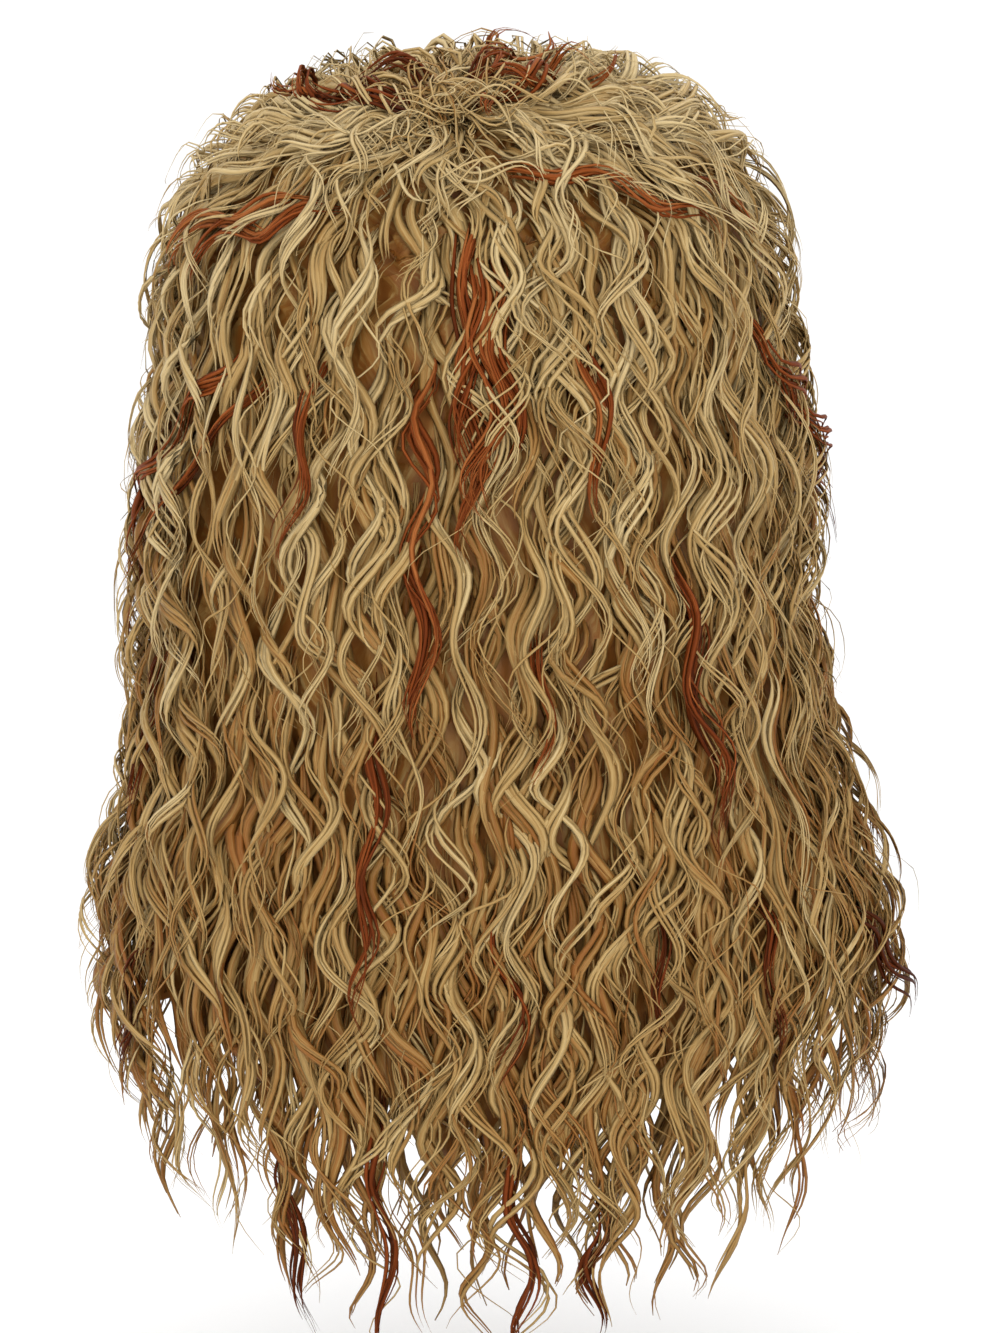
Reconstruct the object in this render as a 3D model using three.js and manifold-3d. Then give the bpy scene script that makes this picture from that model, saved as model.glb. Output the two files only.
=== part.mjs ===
// A curly mullet wig: a hollow stretch cap with an edge band, on which rows of hair are sewn.
// Millimetres, +Z up. The wearer faces +Y, so the long hair hangs on the -Y side.
// +X is the wearer's right. The origin is the inside top of the cap, where it sits on the crown of the head.
import * as THREE from "three";
import { mergeVertices } from "three/addons/utils/BufferGeometryUtils.js";
import Module from "manifold-3d";

const degrees = Math.PI / 180;
const mix = (a, b, t) => a + (b - a) * t;
const clamp01 = (t) => Math.min(1, Math.max(0, t));
const smooth = (t) => clamp01(t) ** 2 * (3 - 2 * clamp01(t));

// The cap, measured inside.
const capWidth = 156;
const capLength = 196;
const capCrown = 105; // from the inside top down to the widest level
const capWall = 1.8;
const capFacets = 20;
const capRings = 4;
const crownRings = 2; // of the cap's rings, from the top, that its crown panel takes
const panelGap = 0.3; // between the crown panel and the side panel that is sewn to it
const bandHeight = 11;
const bandWall = 2.8;
const bandGap = 0.35;

// The hair's outer form, measured from the cap's axis at the widest level.
const hairLeft = 151;
const hairRight = 128;
const hairBack = 150;
const hairFront = 128;
const hairRise = 25; // above the inside top of the cap
const hairFall = 430; // from the widest level down to the longest tips
const domeSquareness = 2.6; // 2 is an ellipse, more is squarer

// How the rows of hair lie on the cap. Levels run from 0 at the top, by 1 at the widest level, to 2 at the
// longest tips. Degrees run round the head from 0 at the nape to 180 at the forehead.
const backHalf = 108; // degrees from the nape to the seam behind each ear
const sideEnd = 152; // degrees from the nape to the seam beside the forehead
const seamAngle = 2; // degrees between the rows on either side of a seam
const capClearance = 3; // under a row, away from its sewn edge
const seatGap = 0.35; // under a row's sewn edge, which is cut to the cap's form
const seatDepth = 0.8; // by which a sewn edge would reach into the cap if it weren't cut
const rowGap = 2.6; // between a row and the edge of its own layer
const stations = [0.16, 0.3, 0.46, 0.62, 0.78, 0.94, 1.1, 1.28, 1.46, 1.64, 1.8]; // facet levels
const backingStep = 24; // degrees round the head from facet to facet
const backingDepth = 0.58; // of a row's layer that its backing fills
const tipReach = 0.14; // levels by which the locks hang below their backing
const rootSpread = 0.35; // levels in which a row widens from its sewn edge to its full reach
const layerRise = { lead: 0.05, length: 0.2, taper: 0.2 }; // levels in which a row takes and leaves its layer

// A lock's own form. It is widest in the middle, where it overlaps its neighbours, and waves all along.
const waveLength = 64;
const waveHeight = 8;
const lockSides = 3;
const lockOverlap = 1.3;
const lockDepth = 0.52; // of its row's layer, at its middle
const lockStagger = { reach: 0.035, turn: 2.4, shift: 9 }; // levels of uneven length, and its steps
const lockRoot = 0.55; // width at the start and end, as shares of the middle's
const lockTip = 0.1;
const lockRise = 0.33; // share of a lock's length in which it widens and its waves grow
const lockPoint = 1.8; // how late a lock narrows to its tip, where 1 is evenly
const flareFrom = 0.4; // share of a lock's length where an outermost lock starts to stand out
const gapShare = 0.4; // of a row's layer, at most, that the gap beside it takes
const domeArc = ((hairBack + capCrown + hairRise) * Math.PI) / 4; // from the top to the widest level

// The auburn streaks lie in grooves of their rows.
const streakSides = 4;
const streakWidth = 0.6; // of a blonde lock's
const streakGap = 0.5; // beside a streak
const streakRoom = 2; // above and below a streak

// How far down the rim lies all round, as shares of capCrown. Angle 0 is the nape and 180 the forehead.
const rimTable = [
  { angle: 0, drop: 1.42 },
  { angle: 40, drop: 1.38 },
  { angle: 72, drop: 1.12 },
  { angle: 92, drop: 0.93 },
  { angle: 108, drop: 1.02 },
  { angle: 135, drop: 0.76 },
  { angle: 180, drop: 0.57 },
];

// Sections below the widest level. fall is a share of hairFall, inWidth of capWidth / 2, inBack of
// capLength / 2, left of hairLeft, right of hairRight, back of hairBack and front of hairFront. spread is how far
// round the hair reaches, against the head.
const fallTable = [
  { fall: 0, inWidth: 0.95, inBack: 0.93, left: 1, right: 1, back: 1, front: 1, spread: 1 },
  { fall: 0.105, inWidth: 0.88, inBack: 0.84, left: 1.04, right: 1.06, back: 1.04, front: 0.92, spread: 0.97 },
  { fall: 0.24, inWidth: 0.84, inBack: 0.74, left: 1.07, right: 1.07, back: 1.04, front: 0.86, spread: 0.9 },
  { fall: 0.4, inWidth: 0.98, inBack: 0.68, left: 1.08, right: 1.19, back: 1.0, front: 0.8, spread: 0.79 },
  { fall: 0.55, inWidth: 1.26, inBack: 0.77, left: 1.2, right: 1.38, back: 0.96, front: 0.8, spread: 0.71 },
  { fall: 0.66, inWidth: 1.4, inBack: 0.82, left: 1.18, right: 1.35, back: 0.93, front: 0.8, spread: 0.69 },
  { fall: 0.78, inWidth: 1.42, inBack: 0.85, left: 1.07, right: 1.24, back: 0.89, front: 0.8, spread: 0.68 },
  { fall: 1, inWidth: 1.32, inBack: 0.86, left: 0.93, right: 1.06, back: 0.76, front: 0.8, spread: 0.66 },
];

// The rows of hair, the innermost first in each group. root and hem are levels, and locksFrom is the level where
// the locks come out from under the row above. reach is how much of its width the sewn edge takes, and rise how
// much shorter, in levels, the row is at its two sides. flare is how far the outermost row's tips stand out, as a
// share of hairBack.
const rowGroups = [
  {
    from: -backHalf,
    to: backHalf,
    flare: 0.05,
    rows: [
      { name: "nape_hair", root: 1.06, hem: 1.99, locksFrom: 1.56, locks: 9, reach: 0.5, rise: 0.2 },
      { name: "lower_back_hair", root: 0.9, hem: 1.86, locksFrom: 1.32, locks: 10, reach: 0.85, rise: 0.08 },
      { name: "middle_back_hair", root: 0.68, hem: 1.62, locksFrom: 1.08, locks: 9, reach: 0.96, rise: 0.04 },
      { name: "upper_back_hair", root: 0.44, hem: 1.38, locksFrom: 0.86, locks: 10, reach: 1, rise: 0.02 },
      { name: "crown_back_hair", root: 0.05, hem: 1.12, locksFrom: 0.16, locks: 9, reach: 1, rise: 0 },
    ],
  },
  {
    from: -sideEnd,
    to: -backHalf - seamAngle,
    flare: 0.12,
    rows: [
      { name: "left_side_hair", root: 0.5, hem: 1.24, locksFrom: 0.72, locks: 4, reach: 1, rise: 0 },
      { name: "left_crown_hair", root: 0.05, hem: 0.95, locksFrom: 0.16, locks: 3, reach: 1, rise: 0 },
    ],
  },
  {
    from: backHalf + seamAngle,
    to: sideEnd,
    flare: 0.12,
    rows: [
      { name: "right_side_hair", root: 0.5, hem: 1.24, locksFrom: 0.72, locks: 4, reach: 1, rise: 0 },
      { name: "right_crown_hair", root: 0.05, hem: 0.95, locksFrom: 0.16, locks: 3, reach: 1, rise: 0 },
    ],
  },
  {
    from: sideEnd + seamAngle,
    to: 360 - sideEnd - seamAngle,
    flare: 0.14,
    rows: [
      { name: "fringe_hair", root: 0.48, hem: 1.02, locksFrom: 0.56, locks: 5, reach: 1, rise: 0 },
      { name: "front_crown_hair", root: 0.05, hem: 0.7, locksFrom: 0.16, locks: 4, reach: 1, rise: 0 },
    ],
  },
];

// The auburn streaks: each takes the place of one lock of its row, counted from the wearer's left.
const streakTable = [
  { name: "streak_crown_centre", row: "crown_back_hair", lock: 4 },
  { name: "streak_crown_left", row: "crown_back_hair", lock: 1 },
  { name: "streak_crown_right", row: "crown_back_hair", lock: 7 },
  { name: "streak_upper_centre", row: "upper_back_hair", lock: 4 },
  { name: "streak_upper_left", row: "upper_back_hair", lock: 1 },
  { name: "streak_upper_right", row: "upper_back_hair", lock: 8 },
  { name: "streak_middle_left", row: "middle_back_hair", lock: 3 },
  { name: "streak_middle_right", row: "middle_back_hair", lock: 6 },
  { name: "streak_lower_left", row: "lower_back_hair", lock: 2 },
  { name: "streak_lower_right", row: "lower_back_hair", lock: 7 },
  { name: "streak_nape_left", row: "nape_hair", lock: 3 },
  { name: "streak_nape_right", row: "nape_hair", lock: 5 },
];

const materials = {
  blonde: { color: 0xb09868, roughness: 0.5, metalness: 0 },
  auburn: { color: 0x8c3a18, roughness: 0.45, metalness: 0 },
  net: { color: 0x4a3826, roughness: 0.9, metalness: 0 },
  band: { color: 0x2e2219, roughness: 0.8, metalness: 0 },
};

const wasm = await Module();
wasm.setup();

// One column of a table at a key, eased from row to row through the rows' own slopes.
function readTable(table, keyName, column, key) {
  const last = table.length - 1;
  let i = 0;
  while (i < last - 1 && key > table[i + 1][keyName]) i++;
  const rowAt = (n) => table[Math.min(last, Math.max(0, n))];
  const [before, low, high, after] = [rowAt(i - 1), rowAt(i), rowAt(i + 1), rowAt(i + 2)];
  const span = high[keyName] - low[keyName];
  const t = clamp01((key - low[keyName]) / span);
  const slope = (p, q) => ((q[column] - p[column]) / Math.max(q[keyName] - p[keyName], 1e-9)) * span;
  const t2 = t * t;
  const t3 = t2 * t;
  return (
    (2 * t3 - 3 * t2 + 1) * low[column] +
    (t3 - 2 * t2 + t) * slope(before, high) +
    (3 * t2 - 2 * t3) * high[column] +
    (t3 - t2) * slope(low, after)
  );
}

// The inner and outer edge of the hair at a level: half widths, depths and height.
function formAt(level) {
  const skin = capWall + capClearance;
  if (level <= 1) {
    const polar = level * (Math.PI / 2);
    const round = (v) => Math.max(v, 0) ** (2 / domeSquareness);
    const [across, up] = [Math.sin(polar), Math.cos(polar)];
    const inside = { width: (capWidth / 2 + skin) * across, length: (capLength / 2 + skin) * across };
    const outside = {
      left: hairLeft * round(across),
      right: hairRight * round(across),
      back: hairBack * round(across),
      front: hairFront * round(across),
    };
    inside.z = -capCrown + (capCrown + skin) * up;
    outside.z = -capCrown + (capCrown + hairRise) * round(up);
    return { inside, outside, spread: 1 };
  }
  const read = (column) => readTable(fallTable, "fall", column, level - 1);
  const z = -capCrown - (level - 1) * hairFall;
  const below = Math.min(1, (-capCrown - z) / (capCrown + skin));
  const cap = Math.sqrt(1 - below ** 2); // the cap's own section, which draws in towards the nape
  const inside = {
    width: (capWidth / 2 + skin) * Math.max(cap, read("inWidth")),
    length: (capLength / 2 + skin) * Math.max(cap, read("inBack")),
    z,
  };
  return {
    inside,
    outside: {
      left: hairLeft * read("left"),
      right: hairRight * read("right"),
      back: hairBack * read("back"),
      front: hairFront * read("front"),
      z,
    },
    spread: read("spread"),
  };
}

// A point of the hair: angle round the head in degrees, level, and depth from 0 at the cap to 1 at the outside.
function formPoint(angle, level, depth) {
  const { inside, outside } = formAt(level);
  const [across, along] = [Math.sin(angle * degrees), -Math.cos(angle * degrees)];
  const width = across < 0 ? outside.left : outside.right;
  const length = along < 0 ? outside.back : outside.front;
  return new THREE.Vector3(
    mix(inside.width * across, width * across, depth),
    mix(inside.length * along, length * along, depth),
    mix(inside.z, outside.z, depth),
  );
}

// A closed solid from its vertices and triangles, ready to be joined or cut.
function solidOf(points, triangles) {
  const raw = new THREE.BufferGeometry().setFromPoints(points).setIndex(triangles);
  const merged = mergeVertices(raw, 1e-3);
  const mesh = new wasm.Mesh({
    numProp: 3,
    vertProperties: merged.attributes.position.array,
    triVerts: new Uint32Array(merged.index.array),
  });
  return new wasm.Manifold(mesh);
}

// The mesh of a solid, under its name and in its material.
function meshOf(name, solid, material) {
  const made = solid.getMesh();
  const geometry = new THREE.BufferGeometry();
  geometry.setAttribute("position", new THREE.BufferAttribute(new Float32Array(made.vertProperties), 3));
  geometry.setIndex(new THREE.BufferAttribute(new Uint32Array(made.triVerts), 1));
  geometry.computeVertexNormals();
  const mesh = new THREE.Mesh(geometry, new THREE.MeshStandardMaterial(material));
  mesh.name = name;
  return mesh;
}

// A wall between two surfaces over one grid: point(column, row, side) with side 0 inside and 1 outside.
function wallSolid(columns, rows, point, closedRound) {
  const points = [];
  const triangles = [];
  const width = closedRound ? columns : columns + 1;
  for (const side of [0, 1])
    for (let row = 0; row <= rows; row++)
      for (let column = 0; column < width; column++) points.push(point(column / columns, row / rows, side));
  const at = (side, row, column) => (side * (rows + 1) + row) * width + (column % width);
  const quad = (a, b, c, d) => triangles.push(a, b, c, a, c, d);
  for (let column = 0; column < columns; column++) {
    for (let row = 0; row < rows; row++) {
      quad(at(1, row, column), at(1, row + 1, column), at(1, row + 1, column + 1), at(1, row, column + 1));
      quad(at(0, row, column), at(0, row, column + 1), at(0, row + 1, column + 1), at(0, row + 1, column));
    }
    quad(at(0, 0, column), at(1, 0, column), at(1, 0, column + 1), at(0, 0, column + 1));
    quad(at(0, rows, column), at(0, rows, column + 1), at(1, rows, column + 1), at(1, rows, column));
  }
  for (let row = 0; row < rows && !closedRound; row++) {
    quad(at(0, row, 0), at(0, row + 1, 0), at(1, row + 1, 0), at(1, row, 0));
    quad(at(0, row, columns), at(1, row, columns), at(1, row + 1, columns), at(0, row + 1, columns));
  }
  return solidOf(points, triangles);
}

// The cap's rim, as a polar angle from the top, at an angle round the head.
function rimPolar(angle) {
  const turned = Math.abs(((angle + 540) % 360) - 180);
  return Math.acos(1 - readTable(rimTable, "angle", "drop", turned));
}

// A point of the cap's own form, offset outwards by wall.
function capPoint(angle, polar, wall) {
  return new THREE.Vector3(
    (capWidth / 2 + wall) * Math.sin(polar) * Math.sin(angle * degrees),
    -(capLength / 2 + wall) * Math.sin(polar) * Math.cos(angle * degrees),
    -capCrown + (capCrown + wall) * Math.cos(polar),
  );
}

// The net panel over the top of the head: a dome that starts at the top.
function crownPanel() {
  const points = [capPoint(0, 0, 0), capPoint(0, 0, capWall)];
  const triangles = [];
  for (const side of [0, 1])
    for (let row = 1; row <= crownRings; row++)
      for (let column = 0; column < capFacets; column++) {
        const angle = (360 * column) / capFacets;
        points.push(capPoint(angle, (rimPolar(angle) * row) / capRings, side * capWall));
      }
  const at = (side, row, column) => 2 + (side * crownRings + row - 1) * capFacets + (column % capFacets);
  for (let column = 0; column < capFacets; column++) {
    const next = column + 1;
    triangles.push(0, at(0, 1, next), at(0, 1, column));
    triangles.push(1, at(1, 1, column), at(1, 1, next));
    for (let row = 1; row < crownRings; row++) {
      triangles.push(at(1, row, column), at(1, row + 1, column), at(1, row + 1, next));
      triangles.push(at(1, row, column), at(1, row + 1, next), at(1, row, next));
      triangles.push(at(0, row, column), at(0, row + 1, next), at(0, row + 1, column));
      triangles.push(at(0, row, column), at(0, row, next), at(0, row + 1, next));
    }
    triangles.push(at(0, crownRings, column), at(0, crownRings, next), at(1, crownRings, next));
    triangles.push(at(0, crownRings, column), at(1, crownRings, next), at(1, crownRings, column));
  }
  return solidOf(points, triangles);
}

// The net panel round the head, from the crown panel's seam down to the rim.
function sidePanel() {
  return wallSolid(
    capFacets,
    capRings - crownRings,
    (across, down, side) => {
      const rim = rimPolar(360 * across);
      const seam = (rim * crownRings) / capRings + panelGap / capCrown;
      return capPoint(360 * across, mix(seam, rim, down), side * capWall);
    },
    true,
  );
}

// The space that the cap and its inside fill, with room all round, closed below by facets to its middle.
function capForm(room) {
  const points = [capPoint(0, 0, capWall + room), new THREE.Vector3(0, 0, -capCrown)];
  for (let row = 1; row <= capRings; row++)
    for (let column = 0; column < capFacets; column++) {
      const angle = (360 * column) / capFacets;
      points.push(capPoint(angle, (rimPolar(angle) * row) / capRings, capWall + room));
    }
  const at = (row, column) => 2 + (row - 1) * capFacets + (column % capFacets);
  const triangles = [];
  for (let column = 0; column < capFacets; column++) {
    const next = column + 1;
    triangles.push(0, at(1, column), at(1, next), 1, at(capRings, next), at(capRings, column));
    for (let row = 1; row < capRings; row++) {
      triangles.push(at(row, column), at(row + 1, column), at(row + 1, next));
      triangles.push(at(row, column), at(row + 1, next), at(row, next));
    }
  }
  return solidOf(points, triangles);
}

// The bound elastic edge, below the cap's rim all round and a little thicker inwards.
function edgeBand() {
  const start = bandGap / capCrown;
  const height = bandHeight / capCrown;
  return wallSolid(
    capFacets,
    1,
    (across, down, side) => {
      const polar = rimPolar(360 * across) + start + height * down;
      return capPoint(360 * across, polar, side ? capWall : capWall - bandWall);
    },
    true,
  );
}

// How much of the hair's thickness a row takes at a level, before the other rows are counted.
function rowWeight(row, level) {
  const taken = smooth((level - row.root + layerRise.lead) / layerRise.length);
  return taken * (1 - smooth((level - row.hem + layerRise.taper) / layerRise.taper));
}

// The depths between which a row lies at a level.
function rowLayer(rows, row, level) {
  const least = 0.02;
  const weights = rows.map((other) => Math.max(rowWeight(other, level), other === row ? least : 0));
  const total = weights.reduce((sum, weight) => sum + weight, 0);
  const index = rows.indexOf(row);
  const inner = weights.slice(0, index).reduce((sum, weight) => sum + weight, 0) / total;
  return [inner, inner + weights[index] / total];
}

// Degrees round the head of a place across a row, from 0 at its first side to 1 at its other.
function rowAngle(group, row, across, level) {
  const reach = mix(row.reach, 1, smooth((level - row.root) / rootSpread));
  const middle = (group.from + group.to) / 2;
  const half = ((group.to - group.from) / 2) * reach;
  return (middle + half * (2 * across - 1)) * formAt(level).spread;
}

// The level of a row's hem at a place across it.
const hemLevel = (row, across) => row.hem - row.rise * (2 * across - 1) ** 2;

// A point of a row: across it, level, share of its layer, and millimetres sideways. It stops at the row's two
// sides.
function rowPoint(group, row, across, level, share, sideways = 0) {
  const [inner, outer] = rowLayer(group.rows, row, level);
  const straight = rowAngle(group, row, across, level);
  const skin = formPoint(straight, level, 0);
  const turned = straight + sideways / Math.hypot(skin.x, skin.y) / degrees;
  const angle = Math.min(rowAngle(group, row, 1, level), Math.max(rowAngle(group, row, 0, level), turned));
  const thickness = formPoint(straight, level, 1).distanceTo(skin);
  const margin = Math.min(rowGap / thickness, (outer - inner) * gapShare);
  const depth = mix(inner > 0 ? inner + margin : 0, outer < 1 ? outer - margin : 1, share);
  return formPoint(angle, level, depth);
}

// The sewn backing of a row, which its locks grow from. Its root edge presses towards the cap.
function rowBacking(group, row) {
  const columns = Math.max(3, Math.round((group.to - group.from) / backingStep));
  const end = row.hem - tipReach;
  const least = 0.03; // the smallest step between two levels
  const between = stations.filter((level) => level > row.root + least && level < end - least);
  const levels = [row.root, ...between, end];
  return wallSolid(
    columns,
    levels.length - 1,
    (across, down, side) => {
      const level = levels[Math.round(down * (levels.length - 1))];
      const shorter = (hemLevel(row, across) - tipReach - row.root) / (end - row.root);
      const placed = row.root + (level - row.root) * shorter;
      const [skin, face] = [0, 1].map((share) => rowPoint(group, row, across, placed, share * backingDepth));
      if (side) return face;
      const press = level === row.root ? capClearance + seatDepth : 0;
      return skin.addScaledVector(face.clone().sub(skin).normalize(), -press);
    },
    false,
  );
}

// The width of a lock, from 0 at its start to 1 at its tip, as a share of its middle's.
function lockTaper(t) {
  return t < 0.5 ? mix(lockRoot, 1, smooth(t / lockRise)) : mix(1, lockTip, (t * 2 - 1) ** lockPoint);
}

// One lock of a row, a tapering wavy tube whose section fills the row's layer, or the groove that it needs.
function rowLock(group, row, number, sides = lockSides, width = 1, groove = false) {
  const edge = 0.5 / row.locks;
  const across = mix(edge, 1 - edge, number / Math.max(row.locks - 1, 1));
  const uneven = 1 + Math.sin(number * lockStagger.turn + row.hem * lockStagger.shift);
  const hem = hemLevel(row, across) - lockStagger.reach * uneven;
  const length = Math.max(0, 1 - row.locksFrom) * domeArc + (hem - Math.max(1, row.locksFrom)) * hairFall;
  const steps = Math.max(3, Math.round(Math.max(length, (hem - row.locksFrom) * domeArc) / (waveLength / 2)));
  const flare = row === group.rows.at(-1) ? group.flare * hairBack : 0;
  const points = [];
  for (let step = 0; step <= steps; step++) {
    const t = step / steps;
    const level = mix(row.locksFrom, hem, t);
    const edges = [0, 1].map((side) => formPoint(rowAngle(group, row, side, level), level, 1));
    const taper = lockTaper(t);
    const pitch = edges[0].distanceTo(edges[1]) / row.locks;
    const halfWidth = (pitch * lockOverlap * width * taper) / 2 + (groove ? streakGap : 0);
    const wave = waveHeight * smooth(t / lockRise) * ((step + number) % 2 ? 1 : -1);
    const angle = rowAngle(group, row, across, level);
    const out = formPoint(angle, level, 1).sub(formPoint(angle, level, 0)).normalize();
    const lift = flare * smooth((t - flareFrom) / (1 - flareFrom));
    for (let side = 0; side < sides; side++) {
      const turn = (2 * Math.PI * side) / sides + Math.PI / 2;
      const share = lockDepth + (1 - lockDepth) * Math.sin(turn) * taper ** 0.5;
      const point = rowPoint(group, row, across, level, share, wave + halfWidth * Math.cos(turn));
      points.push(point.addScaledVector(out, (groove ? streakRoom : 0) * Math.sin(turn) + lift));
    }
  }
  return tubeSolid(points, steps, sides);
}

// A closed tube from its rings of points.
function tubeSolid(points, steps, sides) {
  const triangles = [];
  const centre = (step) => {
    const ring = points.slice(step * sides, (step + 1) * sides);
    return ring.reduce((sum, point) => sum.add(point), new THREE.Vector3()).divideScalar(sides);
  };
  const [start, end] = [points.length, points.length + 1];
  points.push(centre(0), centre(steps));
  for (let side = 0; side < sides; side++) {
    const next = (side + 1) % sides;
    triangles.push(start, next, side, end, steps * sides + side, steps * sides + next);
    for (let step = 0; step < steps; step++) {
      const [a, b] = [step * sides + side, step * sides + next];
      triangles.push(a, b, b + sides, a, b + sides, a + sides);
    }
  }
  return solidOf(points, triangles);
}

// A row of hair: its backing and locks as one solid, grooved for its streaks, and each streak by itself.
function hairRow(group, row) {
  const streaks = streakTable.filter((streak) => streak.row === row.name);
  let solid = rowBacking(group, row);
  for (let number = 0; number < row.locks; number++)
    if (!streaks.some((streak) => streak.lock === number)) solid = solid.add(rowLock(group, row, number));
  const made = new THREE.Group();
  for (const streak of streaks) {
    const streakLock = (groove) => rowLock(group, row, streak.lock, streakSides, streakWidth, groove);
    solid = solid.subtract(streakLock(true));
    made.add(meshOf(streak.name, streakLock(false), materials.auburn));
  }
  made.add(meshOf(row.name, solid.subtract(capForm(seatGap)), materials.blonde));
  return made;
}

const wig = new THREE.Group();
wig.name = "mullet_wig";
wig.add(meshOf("crown_net", crownPanel(), materials.net));
wig.add(meshOf("side_net", sidePanel(), materials.net));
wig.add(meshOf("edge_band", edgeBand(), materials.band));
for (const group of rowGroups) {
  for (const row of group.rows) wig.add(hairRow(group, row));
}

export default wig;
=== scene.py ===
# A curly blonde mullet wig with auburn streaks: its looks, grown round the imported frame.
# Metres, +Z up. The wearer faces +Y, so the long hair hangs on the -Y side, where the camera is.
import math

import bpy
import numpy as np
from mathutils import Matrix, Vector


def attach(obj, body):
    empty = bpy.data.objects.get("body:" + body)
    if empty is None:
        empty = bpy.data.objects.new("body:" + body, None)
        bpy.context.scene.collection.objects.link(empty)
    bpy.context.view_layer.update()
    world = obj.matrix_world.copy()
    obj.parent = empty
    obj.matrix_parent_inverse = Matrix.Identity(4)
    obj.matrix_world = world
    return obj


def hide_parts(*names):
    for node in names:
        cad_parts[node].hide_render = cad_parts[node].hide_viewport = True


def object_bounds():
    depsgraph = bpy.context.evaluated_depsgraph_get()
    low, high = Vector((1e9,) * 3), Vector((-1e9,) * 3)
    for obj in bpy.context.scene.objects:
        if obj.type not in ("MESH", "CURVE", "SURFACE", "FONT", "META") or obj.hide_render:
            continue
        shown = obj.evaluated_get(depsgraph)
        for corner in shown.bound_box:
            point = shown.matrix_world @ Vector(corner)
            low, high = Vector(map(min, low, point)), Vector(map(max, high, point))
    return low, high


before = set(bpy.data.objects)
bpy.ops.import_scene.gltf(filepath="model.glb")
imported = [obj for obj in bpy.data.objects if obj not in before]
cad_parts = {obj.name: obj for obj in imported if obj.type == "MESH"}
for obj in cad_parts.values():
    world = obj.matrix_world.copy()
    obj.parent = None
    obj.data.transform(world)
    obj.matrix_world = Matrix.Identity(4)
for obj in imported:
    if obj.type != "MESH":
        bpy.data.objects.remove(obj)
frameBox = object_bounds()
random = np.random.default_rng(1987)

# The cap and the hair's outer form, as in the frame.
form = {
    "capWidth": 0.156,
    "capLength": 0.196,
    "capCrown": 0.105,  # from the inside top down to the widest level
    "skin": 0.0038,  # from the inside of the cap out to the inside of the hair
    "left": 0.151,
    "right": 0.128,
    "back": 0.150,
    "front": 0.128,
    "rise": 0.025,
    "fall": 0.43,  # from the widest level down to the longest tips
    "squareness": 2.6,
    "domeArc": 0.22,  # along the outer form, from the top to the widest level
    "whorl": (-0.11, -0.5),  # where the crown's hair parts, on the dome laid flat with a radius of 1
}
# Sections below the widest level: shares of the sizes above. spread is how far round the hair reaches.
fallTable = {
    "fall": [0, 0.105, 0.24, 0.4, 0.55, 0.66, 0.78, 1],
    "inWidth": [0.95, 0.88, 0.84, 0.98, 1.26, 1.4, 1.42, 1.32],
    "inBack": [0.93, 0.84, 0.74, 0.68, 0.77, 0.82, 0.85, 0.86],
    "left": [1, 1.04, 1.07, 1.08, 1.2, 1.18, 1.07, 0.93],
    "right": [1, 1.06, 1.07, 1.19, 1.38, 1.35, 1.24, 1.06],
    "back": [1, 1.04, 1.04, 1.0, 0.96, 0.93, 0.89, 0.76],
    "front": [1, 0.92, 0.86, 0.8, 0.8, 0.8, 0.8, 0.8],
    "spread": [1, 0.97, 0.9, 0.79, 0.71, 0.69, 0.68, 0.66],
}
# How far down the cap's rim lies, as shares of capCrown, by degrees round the head from the nape.
rimTable = {"angle": [0, 40, 72, 92, 108, 135, 180], "drop": [1.42, 1.38, 1.12, 0.93, 1.02, 0.76, 0.57]}


def smooth(t):  # 3t^2 - 2t^3 between 0 and 1
    t = np.clip(t, 0, 1)
    return t * t * (3 - 2 * t)


def unit(v):
    return v / np.maximum(np.linalg.norm(v, axis=-1, keepdims=True), 1e-9)


# A table's column at a key, on cubics whose slope at each row is that from the row before to the row after.
def readTable(table, keyName, name, key):
    keys = np.array(table[keyName], float)
    values = np.array(table[name], float)
    last = len(keys) - 1
    before, after = np.maximum(np.arange(last + 1) - 1, 0), np.minimum(np.arange(last + 1) + 1, last)
    slope = (values[after] - values[before]) / (keys[after] - keys[before])
    at = np.clip(key, keys[0], keys[-1])
    i = np.clip(np.searchsorted(keys, at, side="right") - 1, 0, last - 1)
    span = keys[i + 1] - keys[i]
    t = (at - keys[i]) / span
    low = (2 * t**3 - 3 * t**2 + 1) * values[i] + (t**3 - 2 * t**2 + t) * slope[i] * span
    return low + (3 * t**2 - 2 * t**3) * values[i + 1] + (t**3 - t**2) * slope[i + 1] * span


def fallColumn(name, level):
    return readTable(fallTable, "fall", name, level - 1)


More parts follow.
